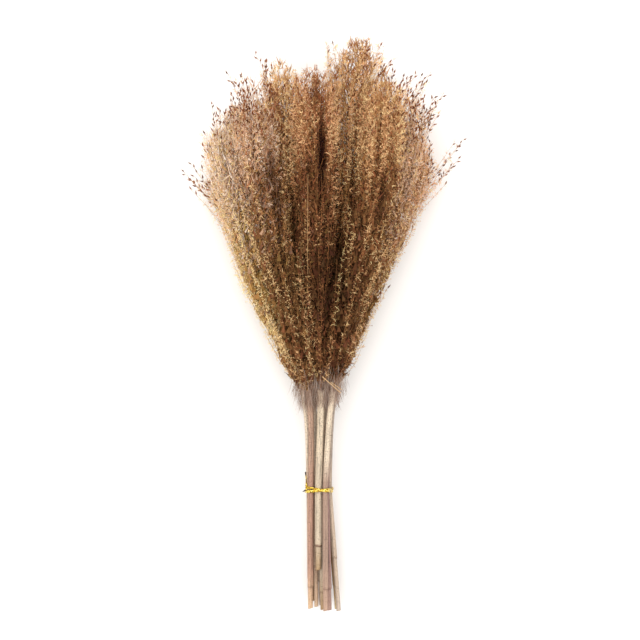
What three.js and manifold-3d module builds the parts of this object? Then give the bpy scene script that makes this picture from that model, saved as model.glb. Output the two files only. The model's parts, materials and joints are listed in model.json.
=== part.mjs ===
// A tied bunch of fourteen dried reed plumes, lying on its side on a surface.
// Millimetres. +Y runs from the cut ends to the plume tips, +X across the fan, +Z up from the surface.
// Every reed is a pale culm in its leaf sheath and a brown plume, whose stalk stands in the sheath's mouth.
import * as THREE from "three";
import { mergeVertices } from "three/addons/utils/BufferGeometryUtils.js";
import Module from "manifold-3d";

const wasm = await Module();
wasm.setup();

// Heights along the bunch, measured from the neck, where the plumes begin.
const TIE_Y = -78; // the twist tie
const END_Y = -175; // the furthest cut end
const AIM_Y = 165; // the widest part of the fan, where each reed's aim is given
const NECK = { x: -2.5, y: -50 }; // the neck in the part's frame, with its origin under the bunch's middle

// The bundle of culms at the tie, and how it opens.
const CULM_PITCH = 4.3; // across a row
const ROW_Z = [-6.1, -2.2, 2.2, 6.85]; // the four rows, lowest first
const BEND = 25; // how gently the reeds bend outwards at the neck
const FLATTEN = 0.0019; // how much they straighten up again further on
const TWIST = THREE.MathUtils.degToRad(40); // turn of the bundle between the neck and the cut ends
const END_SPREAD = 0.42; // how much wider the bundle is at the cut ends than at the tie
const END_CENTRE_Z = 11.9; // height of the bundle's middle at the cut ends
const CENTRE_SLOPE = 0.1; // rise of the bundle's middle for each millimetre along it

// One reed: its row and place in the tie, its aim in the fan as x and z, how high its plume ends,
// where its culm is cut and its sheath begins, the sheath's radius, the lean of its cut end
// and its plume's girth.
const REEDS = [
  { tie: [3, -0.79], aim: [-46, 77], top: 243, cut: -173, sheath: -156, radius: 2.35, lean: 3.5, girth: 23 },
  { tie: [3, 0.55], aim: [-3, 80], top: 252, cut: -142, sheath: -123, radius: 2.7, lean: 3.5, girth: 22 },
  { tie: [3, 1.74], aim: [44, 77], top: 240, cut: -174, sheath: -157, radius: 2.05, lean: 3, girth: 23 },
  { tie: [2, -1.5], aim: [-69, 50], top: 207, cut: -170, sheath: -150, radius: 2.05, lean: 2.5, girth: 21 },
  { tie: [2, -0.5], aim: [-25, 57], top: 258, cut: -172, sheath: -140, radius: 2.0, lean: 2.5, girth: 23 },
  { tie: [2, 0.5], aim: [20, 58], top: 275, cut: -174, sheath: -160, radius: 2.0, lean: 2.5, girth: 24 },
  { tie: [2, 1.5], aim: [61, 52], top: 232, cut: -174, sheath: -157, radius: 2.0, lean: 3, girth: 21 },
  { tie: [1, -1.5], aim: [-77, 30], top: 176, cut: -168, sheath: -145, radius: 2.0, lean: 2, girth: 17 },
  { tie: [1, -0.5], aim: [-38, 33], top: 232, cut: -171, sheath: -152, radius: 1.95, lean: 2.5, girth: 22 },
  { tie: [1, 0.5], aim: [36, 34], top: 254, cut: -169, sheath: -148, radius: 2.0, lean: 2.5, girth: 22 },
  { tie: [1, 1.5], aim: [71, 31], top: 198, cut: -175, sheath: -133, radius: 2.05, lean: 6, girth: 17 },
  { tie: [0, -1], aim: [-60, 14], top: 226, cut: -172, sheath: -150, radius: 2.0, lean: 2.5, girth: 21 },
  { tie: [0, 0], aim: [-4, 14], top: 236, cut: -166, sheath: -149, radius: 2.0, lean: 2.5, girth: 22 },
  { tie: [0, 1], aim: [56, 14], top: 224, cut: -174, sheath: -155, radius: 2.0, lean: 3.5, girth: 21 },
];

// The furthest tips of the head, by plume, as x, y and z from the neck.
const SPRAYS = [
  { plume: 8, tip: [-106, 171, 26] },
  { plume: 8, tip: [-99, 176, 38] },
  { plume: 8, tip: [-97, 160, 18] },
  { plume: 4, tip: [-86, 206, 62] },
  { plume: 1, tip: [-67, 245, 90] },
  { plume: 5, tip: [-47, 262, 76] },
  { plume: 6, tip: [32, 274, 84] },
  { plume: 6, tip: [50, 257, 70] },
  { plume: 10, tip: [66, 243, 46] },
  { plume: 3, tip: [79, 239, 90] },
  { plume: 7, tip: [94, 231, 66] },
  { plume: 11, tip: [111, 198, 34] },
  { plume: 11, tip: [100, 176, 22] },
];

// Culms.
const CULM_SIDES = 8;
const BARE_RADIUS = 0.82; // of the sheath's radius, below the sheath
const SHEATH_EDGE = 0.6; // length over which the sheath's lower edge stands out
const BEND_Y = -22; // where the culms begin to bend apart
const MOUTH_Y = 0; // top of the sheath
const MOUTH_DEPTH = 8;
const MOUTH_SIDES = 6;
const MOUTH_OVER = 1; // how far the cut of the mouth goes past the top
const CLEAR = 0.3; // gap where one piece stands in or against another

// The twist tie.
const STRIP = { wide: 2.2, thick: 0.7 };
const TIE_SIDES = 14;
const CROSSING = { x: 2.7, drop: 0.9 }; // where the two turns cross on top
const KNOT = { x: -9.6, z: 6.4 }; // where the tails leave, from the bundle's middle
const TURNS = [
  { gap: 0.3, slope: -0.16, turned: 0 },
  { gap: 0.65, slope: 0.1, turned: 0.5 },
]; // the inner and the outer turn: how far off the culms, how steep, and its corners' shift in sides
const TAILS = [
  { length: 4.5, lean: -0.15, lift: 0.4, twist: 1.6 },
  { length: 14, lean: 1.33, lift: 3.6, twist: 2.6 },
];
const TAIL_WIDE = 0.8; // of the strip's width
const TAIL_STEPS = 5;
const TAIL_RISE = 0.4; // of the tails' roots over the crossing

// Plumes.
const STALK_RADIUS = 1.1;
const CORE_SIDES = 5;
const CORE = [[0.06, 1.6], [0.22, 3.2], [0.45, 4], [0.75, 2.4], [1, 0]]; // share of the length and radius
const CORE_FOOT = 4; // how far under the first branch the core begins to widen
const BRANCHES = 40;
const BRANCH_RISE = { lowest: 22, middle: 84, least: 0.8, most: 1.2 }; // reach along the plume, and its range
const BRANCH_RADIUS = 2.5;
const BRANCH_ROOT = 0.4; // of the branch's radius, at its root
const BRANCH_BEND = 0.6; // share of a branch's length at which it turns upwards
const ROOTS = { highest: 0.84, crowding: 1.25 }; // share of the plume's length, and how roots crowd below
const FULL_SIZE = 0.25; // share of the branches, from the lowest, that grow to their full size
const INNERMOST = 0.62; // share of the girth at which the innermost tips stand
const TIP_SPREAD = 12; // how far under the plume's top the highest branches may end
const STALK_OUT = 0.6; // from the stalk's middle to a branch's root
const BASE_GIRTH = 0.6; // the lowest branches' share of the plume's girth
const FULL_GIRTH = 0.4; // share of the length at which the girth is full
const TOP_TAPER = 0.12; // share of the girth that is lost towards the top
const GOLDEN_ANGLE = Math.PI * (3 - Math.sqrt(5));
const ANGLE_STRAY = 0.5;
const FIRST_BRANCH_Y = 3;
const SPRAY_RADIUS = 1.5;
const SPRAY_RISE = 62;
const ABOVE_TOP = 12; // a plume keeps its space this far past its top
const ON_SURFACE = 0.3; // of a branch's radius, the lowest that its middle lies
const BETWEEN = 0.8; // between a branch and the middle of the space between two reeds
const SMALLEST = 0.05; // edges shorter than this are joined
const SEED = 7;

const { smoothstep, lerp, seededRandom } = THREE.MathUtils;
seededRandom(SEED);

// How far the fan has opened at a height: almost nothing among the bound culms, then ever less steeply.
function opened(y) {
  const even = (y + Math.hypot(y, BEND)) / 2;
  return even * (1 - FLATTEN * even);
}

// Height of the bundle's middle over the surface.
const bundleZ = (y) => END_CENTRE_Z + CENTRE_SLOPE * (y - END_Y);

// Where a reed's middle is at a height above the neck, as x and z.
function middle(reed, y) {
  const below = Math.max(0, TIE_Y - y) / (TIE_Y - END_Y);
  const turn = (-TWIST * opened(-y)) / opened(-END_Y);
  const [row, place] = reed.tie;
  const [aimX, aimZ] = reed.aim;
  const x = place * CULM_PITCH;
  const z = ROW_Z[row];
  const wide = 1 + END_SPREAD * below;
  const share = opened(y) / opened(AIM_Y);
  const acrossTie = wide * (x * Math.cos(turn) + z * Math.sin(turn));
  const heightInTie = wide * (z * Math.cos(turn) - x * Math.sin(turn));
  return new THREE.Vector2(
    acrossTie + (aimX - x) * share + reed.lean * below,
    bundleZ(y) + heightInTie + (aimZ - bundleZ(AIM_Y) - z) * share,
  );
}

// A closed solid of level rings, from the lowest to the highest. A last radius of 0 makes a point.
function ringed(rings, sides, turn = 0) {
  const steps = rings.length - 1;
  const pointed = rings[steps].radius === 0;
  const shape = new THREE.CylinderGeometry(pointed ? 0 : 1, 1, 1, sides, steps).rotateY(turn);
  const place = shape.getAttribute("position");
  for (let i = 0; i < place.count; i += 1) {
    const ring = rings[Math.round((place.getY(i) + 0.5) * steps)];
    const reach = Math.hypot(place.getX(i), place.getZ(i));
    const out = reach > 1e-6 ? ring.radius / reach : 0;
    const z = ring.z + place.getZ(i) * out;
    place.setXYZ(i, ring.x + place.getX(i) * out, ring.y, Math.max(0, z));
  }
  return shape;
}

// A geometry as a manifold-3d solid, and back.
function solid(shape) {
  shape.deleteAttribute("normal");
  shape.deleteAttribute("uv");
  const merged = mergeVertices(shape, 1e-4);
  return new wasm.Manifold(
    new wasm.Mesh({
      numProp: 3,
      vertProperties: Float32Array.from(merged.getAttribute("position").array),
      triVerts: Uint32Array.from(merged.index.array),
    }),
  );
}

function geometryOf(body) {
  const { vertProperties, triVerts } = body.getMesh();
  return new THREE.BufferGeometry()
    .setAttribute("position", new THREE.BufferAttribute(vertProperties, 3))
    .setIndex(new THREE.BufferAttribute(triVerts, 1));
}

const ring = (reed, y, radius) => {
  const at = middle(reed, y);
  return { x: at.x, y, z: at.y, radius };
};

// The culm: bare cane at the cut end, the leaf sheath from there to the neck, and the sheath's open mouth.
function culm(reed) {
  const bare = reed.radius * BARE_RADIUS;
  const shaft = ringed(
    [
      ring(reed, reed.cut, bare),
      ring(reed, reed.sheath, bare),
      ring(reed, reed.sheath + SHEATH_EDGE, reed.radius),
      ring(reed, TIE_Y, reed.radius),
      ring(reed, BEND_Y, reed.radius),
      ring(reed, MOUTH_Y, reed.radius),
    ],
    CULM_SIDES,
  );
  const mouth = ringed(
    [
      ring(reed, MOUTH_Y - MOUTH_DEPTH, STALK_RADIUS + CLEAR),
      ring(reed, MOUTH_Y + MOUTH_OVER, STALK_RADIUS + CLEAR),
    ],
    MOUTH_SIDES,
  );
  return solid(shaft).subtract(solid(mouth));
}

// How far the plume's branches stand out at a share of its length.
function girthAt(reed, t) {
  const opening = BASE_GIRTH + (1 - BASE_GIRTH) * smoothstep(t, 0, FULL_GIRTH);
  return reed.girth * opening * (1 - TOP_TAPER * t * t);
}

// The share of an offset from a reed's middle that stays clear of every other reed's half of the space.
function room(reed, y, offset, half) {
  const own = middle(reed, y);
  let share = 1;
  for (const other of REEDS) {
    if (other === reed || y > other.top + ABOVE_TOP) continue;
    const away = middle(other, y).sub(own);
    const apart = away.length();
    const along = offset.dot(away) / apart;
    if (along > 0) share = Math.min(share, Math.max(0, apart / 2 - half - BETWEEN) / along);
  }
  return share;
}

// A level ring of a branch, off the reed's middle, kept in the reed's own space and above the surface.
function branchRing(reed, y, angle, out, radius) {
  const offset = new THREE.Vector2(Math.cos(angle), Math.sin(angle)).multiplyScalar(out);
  offset.multiplyScalar(room(reed, y, offset, radius));
  const at = middle(reed, y).add(offset);
  return { x: at.x, y, z: Math.max(at.y, ON_SURFACE * radius), radius };
}

function branch(reed, index) {
  const u = (index + 0.5) / BRANCHES;
  const length = reed.top - FIRST_BRANCH_Y;
  const root = FIRST_BRANCH_Y + length * ROOTS.highest * u ** ROOTS.crowding;
  const grown = smoothstep(u, 0, FULL_SIZE);
  const { lowest, middle: full, least, most } = BRANCH_RISE;
  const reach = lerp(lowest, full, grown) * lerp(least, most, seededRandom());
  const tip = Math.min(root + reach, reed.top - TIP_SPREAD * seededRandom());
  const t = (tip - FIRST_BRANCH_Y) / length;
  const angle = index * GOLDEN_ANGLE + ANGLE_STRAY * seededRandom();
  const out = girthAt(reed, t) * lerp(INNERMOST, 1, Math.sqrt(seededRandom()));
  const radius = BRANCH_RADIUS * lerp(0.5, 1, grown) * lerp(1, 0.7, u);
  const bend = lerp(root, tip, BRANCH_BEND);
  return ringed(
    [
      branchRing(reed, root, angle, STALK_OUT, radius * BRANCH_ROOT),
      branchRing(reed, bend, angle, out * 0.8, radius),
      branchRing(reed, tip, angle, out, 0),
    ],
    3,
    -Math.PI / 2 - angle,
  );
}

// A long thin branch to one of the furthest tips.
function spray(reed, [x, y, z]) {
  const own = middle(reed, y);
  const angle = Math.atan2(z - own.y, x - own.x);
  const out = Math.hypot(x - own.x, z - own.y);
  const root = y - SPRAY_RISE;
  return ringed(
    [
      branchRing(reed, root, angle, STALK_OUT, SPRAY_RADIUS * 0.5),
      branchRing(reed, lerp(root, y, BRANCH_BEND), angle, out * 0.5, SPRAY_RADIUS),
      branchRing(reed, y, angle, out, 0),
    ],
    3,
    -Math.PI / 2 - angle,
  );
}

function plume(reed, number) {
  const rings = [
    ring(reed, MOUTH_Y - MOUTH_DEPTH + CLEAR, STALK_RADIUS),
    ring(reed, FIRST_BRANCH_Y - CORE_FOOT, STALK_RADIUS),
  ];
  for (const [t, radius] of CORE) rings.push(ring(reed, lerp(FIRST_BRANCH_Y, reed.top, t), radius));
  const parts = [solid(ringed(rings, CORE_SIDES))];
  for (let index = 0; index < BRANCHES; index += 1) parts.push(solid(branch(reed, index)));
  for (const each of SPRAYS) if (each.plume === number) parts.push(solid(spray(reed, each.tip)));
  return wasm.Manifold.union(parts).simplify(SMALLEST);
}

// The outline of the bound culms at the tie, pushed out by a gap, as x and z.
function tieOutline(gap, turned) {
  const sides = [];
  for (let i = 0; i < TIE_SIDES; i += 1) {
    const angle = ((i + turned) * 2 * Math.PI) / TIE_SIDES;
    const out = new THREE.Vector2(Math.cos(angle), Math.sin(angle));
    const reaches = REEDS.map((reed) => middle(reed, TIE_Y).dot(out) + reed.radius);
    sides.push({ out, far: Math.max(...reaches) + gap });
  }
  return sides.map((side, i) => {
    const next = sides[(i + 1) % TIE_SIDES];
    const cross = side.out.cross(next.out);
    return new THREE.Vector2(
      (side.far * next.out.y - next.far * side.out.y) / cross,
      (next.far * side.out.x - side.far * next.out.x) / cross,
    );
  });
}

// One turn of the strip, round the outline at a gap and leaning across the bundle.
function turnOfStrip({ gap, slope, turned }) {
  const outline = new THREE.Shape(tieOutline(gap + STRIP.thick, turned));
  outline.holes.push(new THREE.Path(tieOutline(gap, turned)));
  const band = new THREE.ExtrudeGeometry(outline, { depth: STRIP.wide, bevelEnabled: false });
  band.translate(0, 0, -STRIP.wide / 2).rotateX(Math.PI / 2);
  const place = band.getAttribute("position");
  for (let i = 0; i < place.count; i += 1) {
    place.setY(i, place.getY(i) + TIE_Y - CROSSING.drop + slope * (place.getX(i) - CROSSING.x));
  }
  return solid(band);
}

// A tail of the strip, twisted, from the turns outwards. Its lean is from across the bundle to the plumes.
function tail({ length, lean, lift, twist }) {
  const strip = new THREE.BoxGeometry(length, STRIP.wide * TAIL_WIDE, STRIP.thick, TAIL_STEPS, 1, 1);
  const place = strip.getAttribute("position");
  for (let i = 0; i < place.count; i += 1) {
    const along = place.getX(i) + length / 2;
    const turn = (twist * along) / length;
    const wide = place.getY(i);
    const thick = place.getZ(i);
    place.setXYZ(
      i,
      -along,
      wide * Math.cos(turn) - thick * Math.sin(turn),
      lift * (along / length) ** 2 - wide * Math.sin(turn) - thick * Math.cos(turn),
    );
  }
  strip.rotateZ(-lean).translate(KNOT.x, TIE_Y - CROSSING.drop + TAIL_RISE, bundleZ(TIE_Y) + KNOT.z);
  return solid(strip);
}

const twistTie = () => wasm.Manifold.union([...TURNS.map(turnOfStrip), ...TAILS.map(tail)]);

const culmLook = new THREE.MeshStandardMaterial({ color: 0xcbb08e, roughness: 0.6, metalness: 0 });
const tieLook = new THREE.MeshStandardMaterial({ color: 0xc9a227, roughness: 0.35, metalness: 0 });
const plumeLook = new THREE.MeshStandardMaterial({ color: 0x94693f, roughness: 0.9, metalness: 0 });

function mesh(name, body, look) {
  const made = new THREE.Mesh(geometryOf(body), look);
  made.name = name;
  return made;
}

const bunch = new THREE.Group();
bunch.position.set(NECK.x, NECK.y, 0);
REEDS.forEach((reed, i) => {
  const number = String(i + 1).padStart(2, "0");
  bunch.add(mesh(`culm_${number}`, culm(reed), culmLook));
  bunch.add(mesh(`plume_${number}`, plume(reed, i + 1), plumeLook));
});
bunch.add(mesh("twist_tie", twistTie(), tieLook));

const part = new THREE.Group();
part.add(bunch);
export default part;
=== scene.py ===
# %% [markdown]
# A tied bunch of dried reed plumes lies on a pale table, and the camera looks straight down on it.
# Fourteen straw stems in their leaf sheaths carry fourteen brown, feathery heads, and a gold twist tie
# holds them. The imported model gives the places: one node for each stem, one for each head and one for
# the tie. This notebook keeps their form and makes the fine things that grow on it.

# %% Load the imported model
import json
import math
from dataclasses import dataclass, replace

import bmesh
import bpy
import numpy as np
from mathutils import Matrix, Vector

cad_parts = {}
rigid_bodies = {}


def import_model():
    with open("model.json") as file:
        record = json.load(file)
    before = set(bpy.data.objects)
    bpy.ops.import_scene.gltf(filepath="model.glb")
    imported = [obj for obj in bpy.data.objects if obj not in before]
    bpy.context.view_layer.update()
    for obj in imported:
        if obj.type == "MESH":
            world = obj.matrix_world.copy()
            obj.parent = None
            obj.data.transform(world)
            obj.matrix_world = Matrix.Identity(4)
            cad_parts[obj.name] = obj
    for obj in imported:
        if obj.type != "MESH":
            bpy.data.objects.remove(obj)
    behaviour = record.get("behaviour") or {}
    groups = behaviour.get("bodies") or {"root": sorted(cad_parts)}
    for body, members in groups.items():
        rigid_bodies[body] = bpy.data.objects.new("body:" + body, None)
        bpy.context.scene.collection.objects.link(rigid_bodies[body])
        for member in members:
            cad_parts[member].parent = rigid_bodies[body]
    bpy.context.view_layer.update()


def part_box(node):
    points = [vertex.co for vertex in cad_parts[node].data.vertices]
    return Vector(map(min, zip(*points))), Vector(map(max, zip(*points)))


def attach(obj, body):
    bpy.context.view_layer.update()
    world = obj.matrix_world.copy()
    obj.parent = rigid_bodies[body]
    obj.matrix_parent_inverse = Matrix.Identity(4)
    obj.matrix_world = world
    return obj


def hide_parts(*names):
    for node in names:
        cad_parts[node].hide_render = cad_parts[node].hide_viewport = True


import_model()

# %% [markdown]
# Reeds in a bunch follow simple curves. They lie side by side under the tie, twist a little below it,
# and bend outwards above the neck, where the heads begin. The model was made from one such curve for each
# reed, so the same numbers are used here, in millimetres. Heights run along the bunch from the neck.

# %% The reeds and how they run
MM = 0.001
NECK_X, NECK_Y = -2.5, -50.0
TIE_Y, END_Y, AIM_Y = -78.0, -175.0, 165.0
PITCH = 4.3
ROW_Z = (-6.1, -2.2, 2.2, 6.85)
BEND = 25.0
FLATTEN = 0.0019
TWIST = math.radians(40)
END_SPREAD = 0.42
END_CENTRE_Z = 11.9
CENTRE_SLOPE = 0.1  # the bundle rises from its cut ends to the neck


@dataclass(frozen=True)
class Reed:
    """A reed: its row and place at the tie, its aim in the fan, and where its parts begin and end."""

    row: int
    place: float
    aim_x: float
    aim_z: float
    top: float
    cut: float
    sheath: float
    radius: float
    lean: float
    girth: float
    straw: str
    hue: float
    hue_top: float
    haze: float
    buds: float
    shade: float


REEDS = (
    Reed(3, -0.79, -46, 77, 243, -173, -156, 2.35, 3.5, 23, "pink", 0.46, 0.84, 0.2, 0.8, -0.12),
    Reed(3, 0.55, -3, 80, 252, -142, -123, 2.7, 3.5, 22, "cream", 0.52, 0.6, 0.1, 0.2, 0.08),
    Reed(3, 1.74, 44, 77, 240, -174, -157, 2.05, 3, 23, "flesh", 0.5, 0.52, 0.2, 0.35, -0.1),
    Reed(2, -1.5, -69, 50, 207, -170, -150, 2.05, 2.5, 21, "tan", 0.3, 0.9, 0.9, 0.15, -0.46),
    Reed(2, -0.5, -25, 57, 258, -172, -140, 2.0, 2.5, 23, "tan", 0.45, 0.5, 0.25, 0.35, -0.36),
    Reed(2, 0.5, 20, 58, 275, -174, -160, 2.0, 2.5, 24, "cream", 0.47, 0.52, 0.5, 0.08, -0.16),
    Reed(2, 1.5, 61, 52, 232, -174, -157, 2.0, 3, 21, "mauve", 0.46, 0.84, 0.4, 0.65, -0.16),
    Reed(1, -1.5, -77, 30, 176, -168, -145, 2.0, 2, 17, "cream", 0.2, 0.86, 0.6, 0.12, -0.32),
    Reed(1, -0.5, -38, 33, 232, -171, -152, 1.95, 2.5, 22, "ash", 0.44, 0.6, 0.15, 0.3, -0.2),
    Reed(1, 0.5, 36, 34, 254, -169, -148, 2.0, 2.5, 22, "tan", 0.5, 0.58, 0.15, 0.3, 0.0),
    Reed(1, 1.5, 71, 31, 198, -175, -133, 2.05, 6, 17, "ash", 0.4, 0.74, 0.5, 0.45, -0.05),
    Reed(0, -1, -60, 14, 226, -172, -150, 2.0, 2.5, 21, "tan", 0.26, 0.84, 0.4, 0.4, -0.18),
    Reed(0, 0, -4, 14, 236, -166, -149, 2.0, 2.5, 22, "mauve", 0.46, 0.55, 0.05, 0.2, 0.1),
    Reed(0, 1, 56, 14, 224, -174, -155, 2.0, 3.5, 21, "olive", 0.38, 0.7, 0.3, 0.5, 0.0),
)


def opened(y):
    """How far the fan has opened at a height."""
    even = (y + np.hypot(y, BEND)) / 2
    return even * (1 - FLATTEN * even)


def bundle_z(y):
    """Height of the bundle's middle over the table."""
    return END_CENTRE_Z + CENTRE_SLOPE * (y - END_Y)


def middle(reed, y):
    """Where a reed's middle is at the heights y, as x and z."""
    y = np.asarray(y, float)
    below = np.maximum(0, (TIE_Y - y) / (TIE_Y - END_Y))
    turn = -TWIST * opened(-y) / opened(-END_Y)
    x, z = reed.place * PITCH, ROW_Z[reed.row]
    wide = 1 + END_SPREAD * below
    share = opened(y) / opened(AIM_Y)
    across = wide * (x * np.cos(turn) + z * np.sin(turn)) + (reed.aim_x - x) * share + reed.lean * below
    height = wide * (z * np.cos(turn) - x * np.sin(turn)) + (reed.aim_z - bundle_z(AIM_Y) - z) * share
    return np.stack([across, bundle_z(y) + height], -1)


def placed(points):
    """Points measured from the neck in millimetres, as points of the model in metres."""
    return (np.asarray(points, float) + (NECK_X, NECK_Y, 0)) * MM


low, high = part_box("plume_06")
print("tip of plume 6, model:", round(high.y, 4), "from the curve:", placed([0, REEDS[5].top, 0])[1].round(4))

# %% [markdown]
# The photograph is a picture from straight above on white. The camera stands far away with a long lens,
# so the raised heads look no larger than the stems. The table is a plain pale floor. A large soft light
# over the far left gives the heads their form, and a bright, even sky keeps the shadows on the table faint.

# %% Camera, table and light
PIXEL = 0.78  # millimetres for a pixel of the photograph
PICTURE = 640
NECK_PIXEL = (319, 390)
CAMERA_HEIGHT = 2400
FOCUS_Z = 45
SENSOR = 36
TABLE_HALF = 6
HEADS_MIDDLE = (0, 0.05, 0.04)
SKY_COLOUR = (1, 0.975, 0.945, 1)
SKY_STRENGTH = 0.96


def made_object(name, data):
    """A new object of this mesh, curve, light or camera, in the scene."""
    thing = bpy.data.objects.new(name, data)
    bpy.context.scene.collection.objects.link(thing)
    return thing


centre = placed([(PICTURE / 2 - NECK_PIXEL[0]) * PIXEL, (NECK_PIXEL[1] - PICTURE / 2) * PIXEL, CAMERA_HEIGHT])
camera = made_object("camera", bpy.data.cameras.new("camera"))
camera.data.sensor_width = SENSOR
camera.data.lens = SENSOR * (CAMERA_HEIGHT - FOCUS_Z) / (PICTURE * PIXEL)
camera.data.clip_end = 20
camera.location = centre
bpy.context.scene.camera = camera

floor_mesh = bpy.data.meshes.new("table")
floor_form = bmesh.new()
bmesh.ops.create_grid(floor_form, x_segments=1, y_segments=1, size=TABLE_HALF)
floor_form.to_mesh(floor_mesh)
floor_form.free()
table = made_object("table", floor_mesh)


def soft_light(name, place, size, power, colour):
    """A square area light that points at the middle of the heads."""
    lamp = bpy.data.lights.new(name, "AREA")
    lamp.size = size
    lamp.energy = power
    lamp.color = colour
    thing = made_object(name, lamp)
    thing.location = place
    aim = Vector(HEADS_MIDDLE) - Vector(place)
    thing.rotation_euler = aim.to_track_quat("-Z", "Y").to_euler()


soft_light("key", place=(-0.5, 0.45, 1.6), size=2.6, power=29, colour=(1, 0.96, 0.91))
soft_light("fill", place=(1.1, -0.6, 1.2), size=1.2, power=6, colour=(1, 0.97, 0.94))
sky = bpy.data.worlds.new("sky")
sky.use_nodes = True
sky_inputs = sky.node_tree.nodes["Background"].inputs
sky_inputs["Color"].default_value = SKY_COLOUR
sky_inputs["Strength"].default_value = SKY_STRENGTH
bpy.context.scene.world = sky
bpy.context.scene.view_settings.view_transform = "Standard"
print("camera at", [round(v, 3) for v in camera.location], "lens", round(camera.data.lens))

# %% [markdown]
# Shader maths reads best as plain expressions. One small class wraps a node's socket and overloads the
# operators, so that 1 - mask adds its own Math node. Every other node comes from one method, which takes
# the node's type, the values or wires of its sockets, and its settings.


# %% A small class for material nodes
class Wire:
    """A socket of a material, with the usual operators."""

    def __init__(self, material, socket):
        self.material = material
        self.socket = socket

    def maths(self, operation, other, swap=False):
        pair = (other, self) if swap else (self, other)
        return self.material.node("Math", dict(enumerate(pair)), operation=operation).out(0)

    def __add__(self, other):
        return self.maths("ADD", other)

    def __sub__(self, other):
        return self.maths("SUBTRACT", other)

    def __rsub__(self, other):
        return self.maths("SUBTRACT", other, swap=True)

    def __mul__(self, other):
        return self.maths("MULTIPLY", other)

    __radd__ = __add__
    __rmul__ = __mul__

    def ramp(self, *stops):
        """A colour ramp over this value: each stop is a place and an sRGB colour or a grey."""
        made = self.material.node("ValToRGB", {"Fac": self})
        elements = made.node.color_ramp.elements
        while len(elements) < len(stops):
            elements.new(1)
        for element, (place, colour) in zip(elements, stops):
            element.position = place
            element.color = linear(colour)
        return made.out("Color")


class Node:
    """A node of a material, whose outputs are handed on as wires."""

    def __init__(self, material, node):
        self.material = material
        self.node = node

    def out(self, name):
        return Wire(self.material, self.node.outputs[name])


def linear(colour):
    """An sRGB colour of 0 to 255, or a grey of 0 to 1, as the linear colour that Blender wants."""
    if not isinstance(colour, tuple):
        return (colour, colour, colour, 1)
    return (*(((c / 255 + 0.055) / 1.055) ** 2.4 if c > 10 else c / 255 / 12.92 for c in colour), 1)


class Material:
    """A new material whose surface is one Principled shader."""

    def __init__(self, name, **constants):
        self.made = bpy.data.materials.new(name)
        self.made.use_nodes = True
        self.tree = self.made.node_tree
        self.surface = self.tree.nodes["Principled BSDF"]
        self.shine(**constants)

    def node(self, kind, values=None, **settings):
        """A new node with these settings, its sockets fed with values or wires."""
        made = self.tree.nodes.new("ShaderNode" + kind)
        for key, value in settings.items():
            setattr(made, key, value)
        for key, value in (values or {}).items():
            self.feed(made.inputs[key], value)
        return Node(self, made)

    def feed(self, socket, value):
        if isinstance(value, Wire):
            self.tree.links.new(value.socket, socket)
        else:
            socket.default_value = value

    def shine(self, **sockets):
        """Feeds the shader's own sockets and hands on the finished material."""
        for name, value in sockets.items():
            self.feed(self.surface.inputs[name.replace("_", " ")], value)
        return self.made

    def noise(self, where, scale, detail=3.0, roughness=0.6):
        values = {"Vector": where, "Scale": scale, "Detail": detail, "Roughness": roughness}
        return self.node("TexNoise", values).out("Fac")

    def mix(self, share, one, other, blend="MIX"):
        values = {0: share, 6: one, 7: other}
        return self.node("Mix", values, data_type="RGBA", blend_type=blend).out(2)

    def bump(self, height, depth, strength=1.0):
        values = {"Height": height, "Distance": depth, "Strength": strength}
        return self.node("Bump", values).out("Normal")


TABLE_COLOUR = (250, 250, 250)
table_look = Material("table", Roughness=0.9, Base_Color=linear(TABLE_COLOUR))
table.data.materials.append(table_look.made)
print("materials so far:", [m.name for m in bpy.data.materials])

# %% [markdown]
# A reed's florets are small, dry and curled: thin bracts that open like a star or an antler on a short
# stalk. At the furthest tips they are still closed, as dark, narrow buds. A bract could be a flat leaf,
# but a three-sided horn catches light on every side and is closed. Each is two three-sided cones, welded
# base to base and bent there. The shapes are made once and then repeated many thousand times.

# %% The florets' shapes
SHAPES = bpy.data.collections.new("shapes")
bpy.context.scene.collection.children.link(SHAPES)


def mark(form, verts, length):
    """Notes on each point of a new horn how far along and across it lies, for its tone."""
    along = form.verts.layers.float["along"]
    across = form.verts.layers.float["across"]
    for vert in verts:
        vert[along] = vert.co.z / length
        vert[across] = math.atan2(vert.co.y, vert.co.x)


def cone(form, low, high, radius_low, radius_high, closed=False):
    """A three-sided cone between two heights."""
    size = {"radius1": radius_low, "radius2": radius_high, "depth": high - low}
    at = Matrix.Translation((0, 0, (low + high) / 2))
    return bmesh.ops.create_cone(form, cap_ends=closed, segments=3, matrix=at, **size)["verts"]


def lean_over(form, verts, lean, spin):
    """Leans new points over and turns them round the floret's axis."""
    turn = Matrix.Rotation(spin, 3, "Z") @ Matrix.Rotation(lean, 3, "X")
    bmesh.ops.rotate(form, cent=(0, 0, 0), matrix=turn, verts=verts)


def bract(form, length, width, curl, lean, spin, base=0.0, waist=0.4):
    """Adds one curled spindle, pointed at both ends, that starts at a height on the floret's axis."""
    before = set(form.verts)
    halves = cone(form, 0, waist * length, 0, width / 2) + cone(form, waist * length, length, width / 2, 0)
    bmesh.ops.remove_doubles(form, verts=halves, dist=width * 0.02)
    whole = [v for v in form.verts if v not in before]
    mark(form, whole, length)
    pivot = Vector((0, 0, waist * length))
    tip = [v for v in whole if v.co.z > waist * length * 1.01]
    bmesh.ops.rotate(form, cent=pivot, matrix=Matrix.Rotation(curl, 3, "X"), verts=tip)
    lean_over(form, whole, lean, spin)
    bmesh.ops.translate(form, vec=(0, 0, base), verts=whole)


def needle(form, length, width, lean=0.0, spin=0.0):
    """Adds one straight three-sided point."""
    whole = cone(form, 0, length, width / 2, 0, closed=True)
    mark(form, whole, length)
    lean_over(form, whole, lean, spin)


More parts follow.
